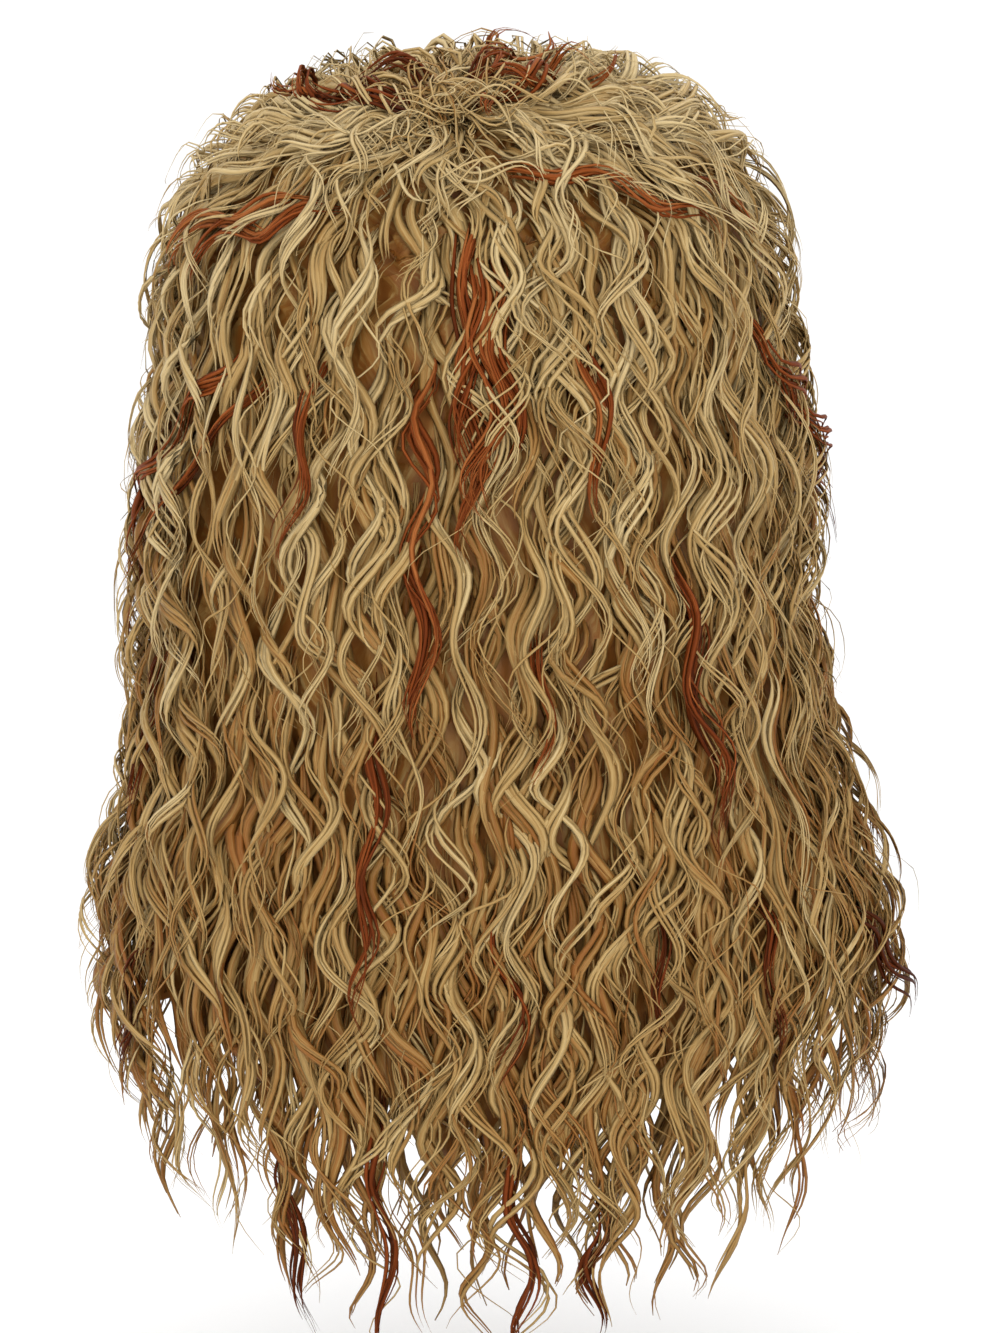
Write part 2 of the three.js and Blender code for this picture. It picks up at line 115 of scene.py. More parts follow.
# The inner and outer points of the hair at an angle round the head, 0 at the nape, and a level, 0 at the
# top, 1 at the widest level and 2 at the longest tips. Over the dome, up to level 1, the inside is an
# ellipsoid and the outside a superellipsoid. Further down both are ellipses whose axes come from the table.
def formEdges(angle, level):
    across, along = np.sin(np.radians(angle)), -np.cos(np.radians(angle))
    polar = np.clip(level, 0, 1) * math.pi / 2
    power = 2 / form["squareness"]
    dome, up = np.sin(polar), np.maximum(np.cos(polar), 0)
    below = level > 1
    drop = np.maximum(level - 1, 0) * form["fall"]
    z = -form["capCrown"] - drop
    section = np.sqrt(1 - np.clip(drop / (form["capCrown"] + form["skin"]), 0, 1) ** 2)  # the cap's own
    column = lambda name: np.where(below, np.maximum(section, fallColumn(name, level)), dome)
    inWidth = (form["capWidth"] / 2 + form["skin"]) * column("inWidth")
    inLength = (form["capLength"] / 2 + form["skin"]) * column("inBack")
    inZ = np.where(below, z, -form["capCrown"] + (form["capCrown"] + form["skin"]) * up)
    axis = lambda name: form[name] * np.where(below, fallColumn(name, level), dome**power)
    width = np.where(across < 0, axis("left"), axis("right"))
    length = np.where(along < 0, axis("back"), axis("front"))
    outZ = np.where(below, z, -form["capCrown"] + (form["capCrown"] + form["rise"]) * up**power)
    inner = np.stack([inWidth * across, inLength * along, inZ], -1)
    outer = np.stack([width * across, length * along, outZ], -1)
    return inner, outer


# The level at a length along the hair from the top, and the other way round.
def levelAt(length):
    arc = form["domeArc"]
    return np.where(length < arc, length / arc, 1 + (length - arc) / form["fall"])


def lengthAt(level):
    level = np.asarray(level, float)
    return np.where(level < 1, level * form["domeArc"], form["domeArc"] + (level - 1) * form["fall"])


# A place on the dome moved so that the pole lies at the whorl, less and less down to level 1.
def towardsWhorl(angle, level):
    pull = np.clip(1 - level, 0, 1) ** 1.5
    u = level * np.sin(np.radians(angle)) + form["whorl"][0] * pull
    v = -level * np.cos(np.radians(angle)) + form["whorl"][1] * pull
    turned = np.degrees(np.arctan2(u, -v))
    wrapped = angle + (turned - angle + 180) % 360 - 180
    moved = level < 1
    return np.where(moved, wrapped, angle), np.where(moved, np.hypot(u, v), level)


# Where the locks of a row lie: angle and turn in degrees, levels, inset and tone, one value for each lock.
def scatterLocks(row, look):
    count = look["locks"]
    across = (np.arange(count) + random.uniform(0.05, 0.95, count)) / count
    if "atSides" in look:
        across = np.where(across < 0.5, across, across - 1) * 2 * look["atSides"] % 1
    low, high = row["angles"]
    tip = random.uniform(*row["tip"], count) - row.get("sideRise", 0) * (2 * across - 1) ** 2
    bright = random.uniform(0, 1, count) < look["brightShare"]
    turn = random.normal(0, look["turn"], count)
    length = random.uniform(*look["length"], count) * row.get("longer", 1)
    return {
        "angle": low + (high - low) * across,
        "turn": turn,
        "start": np.maximum(tip - length, look["highest"]),
        "tip": tip,
        "inset": random.uniform(*look["inset"], count),
        "share": random.uniform(*look["share"], count),
        "tone": look["tone"] + random.normal(0, look["toneSpread"], count) + look["brighter"] * bright,
    }


# Centre lines of the ribbons of a set of locks. Each runs down the form at its angle and its inset below the
# outside, plus a sine sideways and a cosine outwards along its length. Neighbours curl together where their
# phase comes from the angle alone. The ribbons of a lock share one wave, part and meet along it, and close up
# at its tip.
def growLocks(places, look):
    count, points = len(places["angle"]), look["points"]
    lock = np.repeat(np.arange(count), look["ribbons"])
    strands = len(lock)
    one = lambda values: values[lock][:, None]
    each = lambda low, high: random.uniform(low, high, (strands, 1))
    t = np.linspace(0, 1, points)[None, :]
    begin, end = one(lengthAt(places["start"])), one(lengthAt(places["tip"]))
    level = levelAt(begin + (end - each(0, look["ragged"]) - begin) * t)
    angle = one(places["angle"]) + one(places["turn"]) * smooth(t)
    angle = angle * np.where(level > 1, fallColumn("spread", level), 1)
    inner, outer = formEdges(*towardsWhorl(angle, level))
    out = unit(outer - inner)
    thickness = np.linalg.norm(outer - inner, axis=-1)
    inset = one(places["inset"]) + one(places["share"]) * thickness
    inset = inset + look["rootInset"] * (1 - smooth(t / 0.3))
    inset = np.minimum(inset, thickness * 0.97)
    base = outer - out * inset[..., None]
    out = out * look["facing"]
    step = np.linalg.norm(np.diff(base, axis=1), axis=-1)
    along = np.concatenate([np.zeros((strands, 1)), np.cumsum(step, 1)], 1)
    forward = unit(np.gradient(base, axis=1))
    side = unit(np.cross(forward, out))
    out = np.cross(side, forward)
    free = random.uniform(0, 1, count) < look["free"]
    ownWave, sharedWave = random.uniform(0.88, 1.14, count), random.uniform(0.98, 1.02, count)
    wave = one(look["wave"] * np.where(free, ownWave, sharedWave))
    around = np.radians(places["angle"])
    shared = 2.2 * np.sin(3.1 * around + 0.7) + 1.5 * np.sin(7.3 * around + 2)
    phase = np.where(free, random.uniform(0, 2 * math.pi, count), shared + random.normal(0, 0.65, count))
    phase = one(phase) + random.normal(0, look["loose"], (strands, 1))
    turn = 2 * math.pi * (begin + along) / wave + phase + 0.6 * np.sin(along / wave * 1.9 + phase * 3)
    hand = one(np.where(random.uniform(0, 1, count) < 0.5, -1.0, 1.0))
    grown = smooth(along / 0.045) * (0.85 + 0.25 * t)
    curl = one(look["curl"] * random.uniform(0.55, 1.15, count))
    sway = curl * grown * random.normal(1, 0.08, (strands, 1))
    sway = sway * (1 + 0.15 * np.sin(along / 0.09 + phase * 5))
    parts = look["parts"]
    parted = 1 - parts + parts * np.abs(np.sin(math.pi * along / 0.062 + phase + each(0, 0.8)))
    spread = each(-0.5, 0.5) * look["lockWidth"] * parted * (1 - 0.6 * t)
    flick = one(np.clip(random.normal(0, 1, count), -1.7, 1.7) * look["flick"])
    flick = flick * smooth((t - 0.55) / 0.45) ** 2
    lift = one(np.abs(random.normal(0, look["lift"], count))) * smooth(t * 1.3)
    stand = look["stand"] * each(0.2, 1) * smooth(t) ** 1.5
    tipLift = one(look["tipLift"] * random.uniform(0, 1, count) ** 3)
    stand = stand + tipLift * smooth((t - 0.5) / 0.5) ** 2
    sideways = sway * np.sin(turn) + spread + flick
    coiled = look["depthCurl"] + 0.6 * smooth((np.abs(angle) - 45) / 30)  # more so towards the sides
    outwards = coiled * sway * hand * np.cos(turn) + lift + stand
    outwards = outwards + each(-0.5, 0.5) * look["lockDepth"]
    reach = look["reach"]
    outwards = reach * np.tanh(outwards / reach)
    line = base + side * sideways[..., None] + out * outwards[..., None]
    # Painted highlight: the tone rises and falls by 0.05 with the curl's wave, lighter on its crests.
    tone = one(places["tone"]) + random.normal(0, look["mixed"], (strands, 1)) + 0.05 * np.cos(turn)
    # Painted shade: darker towards the root, which lies under the locks above, and darker the deeper the
    # ribbon lies below the outside.
    tone = tone + 0.1 * (smooth(t / 0.5) - 0.6) - look["paintedDepthShade"] * np.clip(inset - 0.002, 0, 0.04)
    tone = tone + 0.25 - 0.5 * smooth((level - 0.25) / 1.5)  # painted light from above: lighter near the top, darker down the hair
    tone = tone - 0.42 * (1 - smooth(np.abs(level) / 0.27))  # dark round the whorl: partly the roots' own darker colour, partly painted shade in the parting
    shape = (0.25 + 0.75 * smooth(along / 0.04)) * (0.08 + 0.92 * (1 - t ** look["taper"]))
    width = look["width"] * each(0.6, 1.3) * shape
    twist = 0.5 * np.cos(turn + 0.5) * hand + each(-0.4, 0.4)
    return line, out, width, twist, tone


# A ridged ribbon carried along each line: a triangle, wide across and low outwards, turned by the twist.
def ribbons(line, out, width, twist, tone):
    strands, points = line.shape[:2]
    forward = unit(np.gradient(line, axis=1))
    side = unit(np.cross(forward, out))
    out = np.cross(side, forward)
    flat = side * np.cos(twist)[..., None] + out * np.sin(twist)[..., None]
    ridge = out * np.cos(twist)[..., None] - side * np.sin(twist)[..., None]
    half = width[..., None] / 2
    rings = np.stack([line - flat * half, line + flat * half, line + ridge * half * 0.45], 2)
    step = np.linalg.norm(np.diff(line, axis=1), axis=-1)
    along = np.concatenate([np.zeros((strands, 1)), np.cumsum(step, 1)], 1)
    number = random.uniform(0, 50, (strands, 1)) + np.zeros((strands, points))
    wide = width.max(1, keepdims=True) / 0.001
    fibre = np.stack([np.stack([u * wide + 0 * along, along, number], -1) for u in (0.0, 1.0, 0.5)], 2)
    index = np.arange(strands * points * 3).reshape(strands, points, 3)
    nextSide = np.roll(index, -1, 2)
    quads = np.stack([index[:, :-1], index[:, 1:], nextSide[:, 1:], nextSide[:, :-1]], -1)
    starts, ends = index[:, 0], index[:, -1][:, ::-1]
    return {
        "points": rings.reshape(-1, 3),
        "quads": quads.reshape(-1, 4),
        "triangles": np.concatenate([starts, ends]),
        "fibre": fibre.reshape(-1, 3),
        "tone": np.repeat(tone.reshape(-1), 3),
    }


def growHair(places, look):
    return ribbons(*growLocks(places, look))


# The faces of a closed wall whose two sides are grids with the same columns and rows, one after the other.
# A ring has its last column joined to its first, and a pole leaves out the rim along the first row.
def wallFaces(columns, rows, ring=False, pole=False):
    index = np.arange(columns * rows).reshape(columns, rows)
    shift = columns * rows
    quad = lambda a, b, c, d: np.stack([a, b, c, d], -1).reshape(-1, 4)
    if ring:
        index = np.concatenate([index, index[:1]])
    face = quad(index[:-1, :-1], index[:-1, 1:], index[1:, 1:], index[1:, :-1])
    edges = [(index[:0:-1, -1], index[-2::-1, -1])]
    if not pole:
        edges.append((index[:-1, 0], index[1:, 0]))
    if not ring:
        edges.append((index[-1, :-1], index[-1, 1:]))
        edges.append((index[0, :0:-1], index[0, -2::-1]))
    rims = [quad(start, end, end + shift, start + shift) for start, end in edges]
    return np.concatenate([face, face[:, ::-1] + shift, *rims])


# What the sheets of under hair share, unless one has its own. teeth are in levels, columnAngle in degrees.
# Their low tone is painted shade: the colour of the deep hair in shadow.
sheetLook = {"columnAngle": 2.4, "rows": 30, "teeth": 0.07, "ridge": 0.0036, "wall": 0.003, "tone": 0.08}


# A closed sheet of under hair: the form's surface at an inset, ridged by a sine whose ridges wander on a
# second sine as the locks do, and the same surface a wall further in. Its hem is a saw of random teeth.
def underSheet(row, sheet):
    low, high = row["angles"]
    columns, rows = round((high - low) / sheet["columnAngle"]), sheet["rows"]
    across, down = np.meshgrid(np.linspace(0, 1, columns), np.linspace(0, 1, rows), indexing="ij")
    teeth = random.uniform(0, 1, columns)[:, None] * sheet["teeth"]
    hem = sheet["hem"] - 1.2 * row.get("sideRise", 0) * (2 * across - 1) ** 2 - teeth
    level = sheet["start"] + (hem - sheet["start"]) * down
    angle = (low + (high - low) * across) * np.where(level > 1, fallColumn("spread", level), 1)
    inner, outer = formEdges(*towardsWhorl(angle, level))
    out = unit(outer - inner)
    thickness = np.linalg.norm(outer - inner, axis=-1)
    strand = across * columns + 1.4 * np.sin(level * 40)  # counted in columns
    ridge = np.sin(strand * 2.1)
    inset = sheet["inset"] + sheet.get("share", 0) * thickness - sheet["ridge"] * ridge
    inset = np.clip(inset, 0.001, thickness * 0.94)
    face = outer - out * inset[..., None]
    wall = np.minimum(sheet["wall"], 0.5 * (thickness - inset) + 0.0004)
    wall = wall[..., None] * (1 - 0.6 * down[..., None])
    points = np.concatenate([face.reshape(-1, 3), (face - out * wall).reshape(-1, 3)])
    fibre = np.stack([strand * 1.3, lengthAt(level), strand * 0.013], -1).reshape(-1, 3)
    tone = (sheet["tone"] + 0.2 * ridge).reshape(-1)  # painted shade: the hollows darker, the ridges lighter
    return {
        "points": points,
        "quads": wallFaces(columns, rows),
        "triangles": np.zeros((0, 3), int),
        "fibre": np.concatenate([fibre, fibre]),
        "tone": np.concatenate([tone, tone]),
    }


# Several surfaces as one mesh object, with its attributes, its material, its slot and the nodes that it
# stands for.
def makePiece(name, surfaces, material, nodes):
    joined = lambda key: np.concatenate([s[key] for s in surfaces])
    counts = np.cumsum([0] + [len(s["points"]) for s in surfaces])
    points = joined("points")
    quads = np.concatenate([s["quads"] + n for s, n in zip(surfaces, counts)])
    triangles = np.concatenate([s["triangles"] + n for s, n in zip(surfaces, counts)])
    corners = np.concatenate([quads.ravel(), triangles.ravel()])
    sizes = np.concatenate([np.full(len(quads), 4), np.full(len(triangles), 3)])
    mesh = bpy.data.meshes.new(name)
    mesh.vertices.add(len(points))
    mesh.vertices.foreach_set("co", points.astype(np.float32).ravel())
    mesh.loops.add(len(corners))
    mesh.loops.foreach_set("vertex_index", corners.astype(np.int32))
    mesh.polygons.add(len(sizes))
    mesh.polygons.foreach_set("loop_start", (np.cumsum(sizes) - sizes).astype(np.int32))
    mesh.update(calc_edges=True)
    mesh.polygons.foreach_set("use_smooth", np.ones(len(sizes), bool))
    fibre = mesh.attributes.new("fibre", "FLOAT_VECTOR", "POINT")
    fibre.data.foreach_set("vector", joined("fibre").astype(np.float32).ravel())
    tone = mesh.attributes.new("tone", "FLOAT", "POINT")
    tone.data.foreach_set("value", joined("tone").astype(np.float32))
    mesh.materials.append(material)
    piece = bpy.data.objects.new(name, mesh)
    bpy.context.scene.collection.objects.link(piece)
    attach(piece, "root")
    if nodes:
        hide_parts(*nodes)
    print(name, "triangles", 2 * len(quads) + len(triangles))


def newMaterial(name):
    material = bpy.data.materials.new(name)
    material.use_nodes = True
    shader = material.node_tree.nodes["Principled BSDF"]
    return material, material.node_tree.nodes, material.node_tree.links, shader


# Hair colour runs over a ramp with each strand's tone, which holds the hair's own shades and also painted
# shade and highlights, broken by fine lines along the fibres.
def hairMaterial(name, ramp, gloss):
    material, nodes, links, shader = newMaterial(name)
    fibre = nodes.new("ShaderNodeAttribute")
    fibre.attribute_name = "fibre"
    tone = nodes.new("ShaderNodeAttribute")
    tone.attribute_name = "tone"
    stretch = nodes.new("ShaderNodeVectorMath")
    stretch.operation = "MULTIPLY"
    stretch.inputs[1].default_value = (1.1, 22.0, 7.0)
    links.new(fibre.outputs["Vector"], stretch.inputs[0])
    lines = nodes.new("ShaderNodeTexNoise")
    lines.inputs["Scale"].default_value = 1.6
    lines.inputs["Detail"].default_value = 4.0
    lines.inputs["Roughness"].default_value = 0.65
    links.new(stretch.outputs["Vector"], lines.inputs["Vector"])
    centred = nodes.new("ShaderNodeMath")
    centred.operation = "MULTIPLY_ADD"
    centred.inputs[1].default_value = 1.5
    centred.inputs[2].default_value = -0.75
    links.new(lines.outputs["Fac"], centred.inputs[0])
    shade = nodes.new("ShaderNodeMath")
    shade.operation = "ADD"
    links.new(tone.outputs["Fac"], shade.inputs[0])
    links.new(centred.outputs["Value"], shade.inputs[1])
    colours = nodes.new("ShaderNodeValToRGB")
    while len(colours.color_ramp.elements) < len(ramp):
        colours.color_ramp.elements.new(0.5)
    for element, (place, colour) in zip(colours.color_ramp.elements, ramp):
        element.position = place
        element.color = (*colour, 1)
    links.new(shade.outputs["Value"], colours.inputs["Fac"])
    links.new(colours.outputs["Color"], shader.inputs["Base Color"])
    bump = nodes.new("ShaderNodeBump")
    bump.inputs["Strength"].default_value = 0.5
    bump.inputs["Distance"].default_value = 0.0004
    links.new(lines.outputs["Fac"], bump.inputs["Height"])
    links.new(bump.outputs["Normal"], shader.inputs["Normal"])
    shader.inputs["Roughness"].default_value = 0.5
    shader.inputs["Specular IOR Level"].default_value = gloss
    return material


blondeRamp = [
    (0.0, (0.23, 0.08, 0.012)),
    (0.2, (0.262, 0.115, 0.023)),
    (0.4, (0.325, 0.186, 0.054)),
    (0.7, (0.43, 0.287, 0.11)),
    (1.0, (0.55, 0.415, 0.205)),
]
auburnRamp = [
    (0.0, (0.06, 0.012, 0.002)),
    (0.35, (0.13, 0.025, 0.004)),
    (0.7, (0.22, 0.05, 0.009)),
    (1.0, (0.33, 0.11, 0.028)),
]
blondeHair = hairMaterial("blondeHair", blondeRamp, 0.22)
auburnHair = hairMaterial("auburnHair", auburnRamp, 0.06)
print("materials made")

# What all locks share, unless a kind has its own. Lengths are in metres, turn is in degrees, highest is a
# level, and share, free, brightShare and parts are shares.
# The tone that a ribbon loses for each metre it lies below the outside is painted shade.
commonLook = {
    "turn": 5, "highest": 0.04, "share": (0, 0), "toneSpread": 0.08, "brightShare": 0, "brighter": 0.14,
    "mixed": 0.06, "paintedDepthShade": 9, "rootInset": 0.01, "facing": 1, "ragged": 0.015, "taper": 2.8,
    "free": 0.3, "loose": 0.14, "parts": 0.7, "flick": 0.006, "lift": 0.002, "stand": 0, "tipLift": 0.015,
    "depthCurl": 0.4, "lockDepth": 0.002, "reach": 0.0115,
}
# The kinds of lock that a row is made of. body fills, fuzz is fine hair between, locks curl on the surface,
# wisps are loose fibres, inner lies against the neck and back, and sides fills a row's two ends. length is in
# levels.
lookTable = {
    "body": {
        "locks": 78, "ribbons": 3, "points": 24, "wave": 0.058, "curl": 0.006, "width": 0.0046,
        "lockWidth": 0.009, "inset": (0.002, 0.008), "tone": 0.46, "length": (0.24, 0.36), "free": 0.25,
        "parts": 0.4, "mixed": 0.08,
    },
    "fuzz": {
        "locks": 30, "ribbons": 3, "points": 19, "wave": 0.058, "curl": 0.0075, "width": 0.0018,
        "lockWidth": 0.012, "inset": (0.0, 0.005), "tone": 0.56, "toneSpread": 0.1, "length": (0.15, 0.24),
        "parts": 0.3, "free": 0.2, "mixed": 0.12,
    },
    "locks": {
        "locks": 48, "ribbons": 4, "points": 33, "wave": 0.058, "curl": 0.0092, "width": 0.0027,
        "lockWidth": 0.009, "inset": (-0.002, 0.003), "tone": 0.68, "toneSpread": 0.1, "brightShare": 0.35,
        "length": (0.24, 0.37), "free": 0.35,
    },
    "wisps": {
        "locks": 24, "ribbons": 1, "points": 26, "wave": 0.052, "curl": 0.01, "width": 0.0014,
        "lockWidth": 0.0, "inset": (-0.003, 0.004), "tone": 0.7, "turn": 7, "flick": 0.007, "lift": 0.004,
        "tipLift": 0.03, "length": (0.18, 0.3),
    },
    "inner": {
        "locks": 72, "ribbons": 2, "points": 34, "wave": 0.058, "curl": 0.006, "width": 0.0058,
        "lockWidth": 0.01, "inset": (0.0, 0.0), "share": (0.86, 0.97), "tone": 0.5, "length": (0.4, 0.6),
        "rootInset": 0, "facing": -1, "tipLift": 0, "mixed": 0.1, "paintedDepthShade": 0,
    },
    "sides": {
        "locks": 28, "ribbons": 2, "points": 30, "wave": 0.058, "curl": 0.006, "width": 0.0064,
        "lockWidth": 0.01, "inset": (0.0, 0.0), "share": (0.05, 0.92), "tone": 0.5, "length": (0.4, 0.55),
        "rootInset": 0, "atSides": 0.05, "turn": 2, "paintedDepthShade": 0,
    },
}
backAngles = (-108, 108)
leftAngles = (-152, -106)
rightAngles = (106, 152)
frontAngles = (150, 210)
# tip is in levels. sideRise is how much higher the row ends at its two sides. amount, inner and sides are how
# many locks it has, as shares of the numbers above.
hairRows = {
    "nape_hair": {
        "tip": (1.68, 1.98), "angles": backAngles, "sideRise": 0.16, "amount": 1, "inner": 1, "sides": 1,
    },
    "lower_back_hair": {
        "tip": (1.6, 1.9), "angles": backAngles, "sideRise": 0.08, "amount": 1.05, "inner": 0.35, "sides": 1,
    },
    "middle_back_hair": {"tip": (1.34, 1.66), "angles": backAngles, "amount": 1.2, "sides": 0.5},
    "upper_back_hair": {"tip": (1.06, 1.4), "angles": backAngles, "amount": 1.15, "longer": 1.5},
    "crown_back_hair": {"tip": (0.45, 1.18), "angles": backAngles, "amount": 1.7, "longer": 1.7},
    "left_side_hair": {
        "tip": (0.95, 1.26), "angles": leftAngles, "amount": 0.32, "inner": 0.15, "sides": 0.4,
    },
    "left_crown_hair": {"tip": (0.45, 1.0), "angles": leftAngles, "amount": 0.32, "longer": 1.2},
    "right_side_hair": {
        "tip": (0.95, 1.26), "angles": rightAngles, "amount": 0.32, "inner": 0.15, "sides": 0.4,
    },
    "right_crown_hair": {"tip": (0.45, 1.0), "angles": rightAngles, "amount": 0.32, "longer": 1.2},
    "fringe_hair": {"tip": (0.76, 1.02), "angles": frontAngles, "amount": 0.36},
    "front_crown_hair": {"tip": (0.4, 0.82), "angles": frontAngles, "amount": 0.42, "longer": 1.2},
}
underSheets = {
    "nape_hair": [
        {"start": 1.1, "hem": 1.78, "inset": 0.0125},
        {"start": 1.14, "hem": 1.8, "inset": 0.0, "share": 0.9, "tone": 0.4},
    ],
    "lower_back_hair": [
        {"start": 0.95, "hem": 1.62, "inset": 0.0115},
        {"start": 1.03, "hem": 1.35, "inset": 0.0, "share": 0.82, "tone": 0.4},
    ],
    "middle_back_hair": [{"start": 0.7, "hem": 1.4, "inset": 0.011}],
    "upper_back_hair": [{"start": 0.4, "hem": 1.12, "inset": 0.0105}],
    "crown_back_hair": [{"start": 0.002, "hem": 0.85, "inset": 0.009}],
    "left_side_hair": [
        {"start": 0.5, "hem": 1.12, "inset": 0.013},
        {"start": 0.7, "hem": 1.12, "inset": 0.0, "share": 0.9},
    ],
    "left_crown_hair": [{"start": 0.002, "hem": 0.75, "inset": 0.009}],
    "right_side_hair": [
        {"start": 0.5, "hem": 1.12, "inset": 0.013},
        {"start": 0.7, "hem": 1.12, "inset": 0.0, "share": 0.9},
    ],
    "right_crown_hair": [{"start": 0.002, "hem": 0.75, "inset": 0.009}],
    "fringe_hair": [{"start": 0.4, "hem": 0.9, "inset": 0.013}],
    "front_crown_hair": [{"start": 0.002, "hem": 0.6, "inset": 0.009}],
}
for node, row in hairRows.items():
    surfaces = [underSheet(row, {**sheetLook, **sheet}) for sheet in underSheets[node]]
    for kind, look in lookTable.items():
        amount = row.get(kind, 0 if kind in ("inner", "sides") else row["amount"])
        if amount:
            rowLook = {**commonLook, **look, "locks": round(look["locks"] * amount)}
            surfaces.append(growHair(scatterLocks(row, rowLook), rowLook))
    makePiece(node + "_locks", surfaces, blondeHair, [node])
print("blonde hair grown")

# The teased crown: short loose locks that run out from the whorl or over it, some of them askew, and stand
# off the head. start and length are in levels.
teasedCrown = {
    "locks": 180, "ribbons": 2, "points": 25, "wave": 0.035, "curl": 0.0078, "width": 0.0019,
    "lockWidth": 0.007, "start": (-0.3, 0.5), "length": (0.12, 0.5), "turn": 10, "inset": (-0.001, 0.005),
    "tone": 0.66, "toneSpread": 0.12, "stand": 0.014, "free": 0.8, "depthCurl": 0.9, "loose": 0.4,
    "mixed": 0.1, "reach": 0.0145,
}


def growTeasedCrown(look):
    count = look["locks"]
    start = random.uniform(*look["start"], count)
    places = {
        "angle": random.uniform(-180, 180, count),
        "turn": random.normal(0, look["turn"], count) / (0.35 + np.abs(start)),
        "start": start,
        "tip": start + random.uniform(*look["length"], count),
        "inset": random.uniform(*look["inset"], count),
        "share": np.zeros(count),
        "tone": random.normal(look["tone"], look["toneSpread"], count),
    }
    makePiece("teased_crown", [growHair(places, look)], blondeHair, [])


growTeasedCrown({**commonLook, **teasedCrown})
print("crown teased")

# The auburn streaks. Each line is one lock: angle and turn in degrees at the widest level, start and tip in
# levels, inset below the outer form in metres, and tone. Those of the tufts lie round the whorl and stand for
# no node.
streakTable = {
    "streak_crown_centre": [
        (-5, -1, 0.66, 1.14, -0.001, 0.5),
        (-3, -1, 0.74, 1.2, -0.003, 0.65),
        (-1, -1, 0.82, 1.16, -0.003, 0.6),
        (0, 1, 0.86, 1.12, -0.002, 0.5),
    ],
    "streak_crown_left": [(-36, -34, 0.6, 0.86, -0.002, 0.6), (-30, -30, 0.64, 0.9, -0.001, 0.5)],
    "streak_crown_right": [(4, 44, 0.46, 0.84, -0.002, 0.5), (50, 16, 0.6, 0.84, -0.001, 0.5)],
    "streak_upper_centre": [(-12, 0, 0.96, 1.36, -0.001, 0.65), (-30, -1, 0.96, 1.2, -0.002, 0.55)],
    "streak_upper_left": [
        (-44, -40, 0.93, 1.22, -0.002, 0.6),
        (-40, -36, 1.0, 1.24, -0.001, 0.5),
        (-76, -10, 1.04, 1.3, 0.0, 0.45),
    ],
    "streak_upper_right": [
        (54, 38, 0.92, 1.15, -0.005, 0.5),
        (58, 36, 0.96, 1.18, -0.004, 0.4),
        (15, 3, 0.94, 1.17, -0.001, 0.6),
    ],
    "streak_middle_left": [(-22, -2, 1.3, 1.64, -0.002, 0.55), (-14, 2, 1.16, 1.36, -0.001, 0.65)],
    "streak_middle_right": [
        (34, 8, 1.16, 1.45, -0.003, 0.55),
        (38, 6, 1.2, 1.48, -0.001, 0.45),
        (8, 0, 1.25, 1.41, -0.001, 0.6),
    ],
    "streak_lower_left": [(-74, -12, 1.26, 1.48, -0.003, 0.35), (-78, -14, 1.55, 1.72, -0.003, 0.25)],
    "streak_lower_right": [
        (80, 26, 1.53, 1.67, -0.004, 0.25),
        (54, 3, 1.5, 1.68, -0.002, 0.4),
        (30, 2, 1.5, 1.66, 0.0, 0.45),
    ],
    "streak_nape_left": [(-50, 1, 1.74, 1.95, -0.002, 0.15), (-26, 0, 1.7, 1.96, -0.002, 0.45)],
    "streak_nape_right": [
        (3, 4, 1.72, 1.98, -0.003, 0.5),
        (24, -2, 1.8, 1.95, -0.002, 0.35),
        (0, 3, 1.5, 1.7, -0.001, 0.5),
    ],
    "auburn_tufts": [
        (123, 30, 0.03, 0.22, -0.004, 0.5),
        (105, -20, 0.03, 0.24, -0.005, 0.55),
        (112, 20, 0.05, 0.22, -0.005, 0.6),
        (-172, 25, 0.02, 0.16, -0.003, 0.3),
        (68, 30, 0.04, 0.28, -0.003, 0.5),
        (-55, -20, 0.03, 0.24, -0.004, 0.25),
        (-82, -20, 0.04, 0.22, -0.004, 0.15),
        (40, -24, 0.05, 0.26, -0.003, 0.45),
        (-80, -30, 0.12, 0.32, -0.003, 0.3),
    ],
}
streakLook = {
    "ribbons": 7, "points": 27, "wave": 0.058, "curl": 0.0055, "width": 0.0023, "lockWidth": 0.0085,
    "flick": 0.003, "rootInset": 0.012, "depthCurl": 0.2, "lockDepth": 0.005, "mixed": 0.14, "loose": 0.25,
    "free": 0.1, "parts": 0.5,
}
ownLooks = {
    "streak_crown_centre": {"ribbons": 11, "lockWidth": 0.014, "curl": 0.0048},
    "auburn_tufts": {
        "ribbons": 8, "width": 0.0025, "wave": 0.034, "curl": 0.0062, "stand": 0.009, "reach": 0.012,
        "free": 1, "depthCurl": 0.9,
    },
}
for node, rows in streakTable.items():
    columns = dict(zip(("angle", "turn", "start", "tip", "inset", "tone"), np.array(rows, float).T))
    columns["share"] = np.zeros(len(rows))
    stoodFor = [node] if node.startswith("streak") else []
    look = {**commonLook, **streakLook, **ownLooks.get(node, {})}
    makePiece(node + "_lock", [growHair(columns, look)], auburnHair, stoodFor)
print("auburn streaks grown")


# The cap's rim, as a polar angle from the top, at degrees round the head.
def rimPolar(angle):
    return np.arccos(1 - readTable(rimTable, "angle", "drop", np.abs((angle + 180) % 360 - 180)))


# Points of the cap's ellipsoid, offset outwards by a wall.
def capPoint(angle, polar, wall):
    across, along = np.sin(np.radians(angle)), -np.cos(np.radians(angle))
    x = (form["capWidth"] / 2 + wall) * np.sin(polar) * across
    y = (form["capLength"] / 2 + wall) * np.sin(polar) * along
    z = -form["capCrown"] + (form["capCrown"] + wall) * np.cos(polar)
    return np.stack([x, y, z], -1)


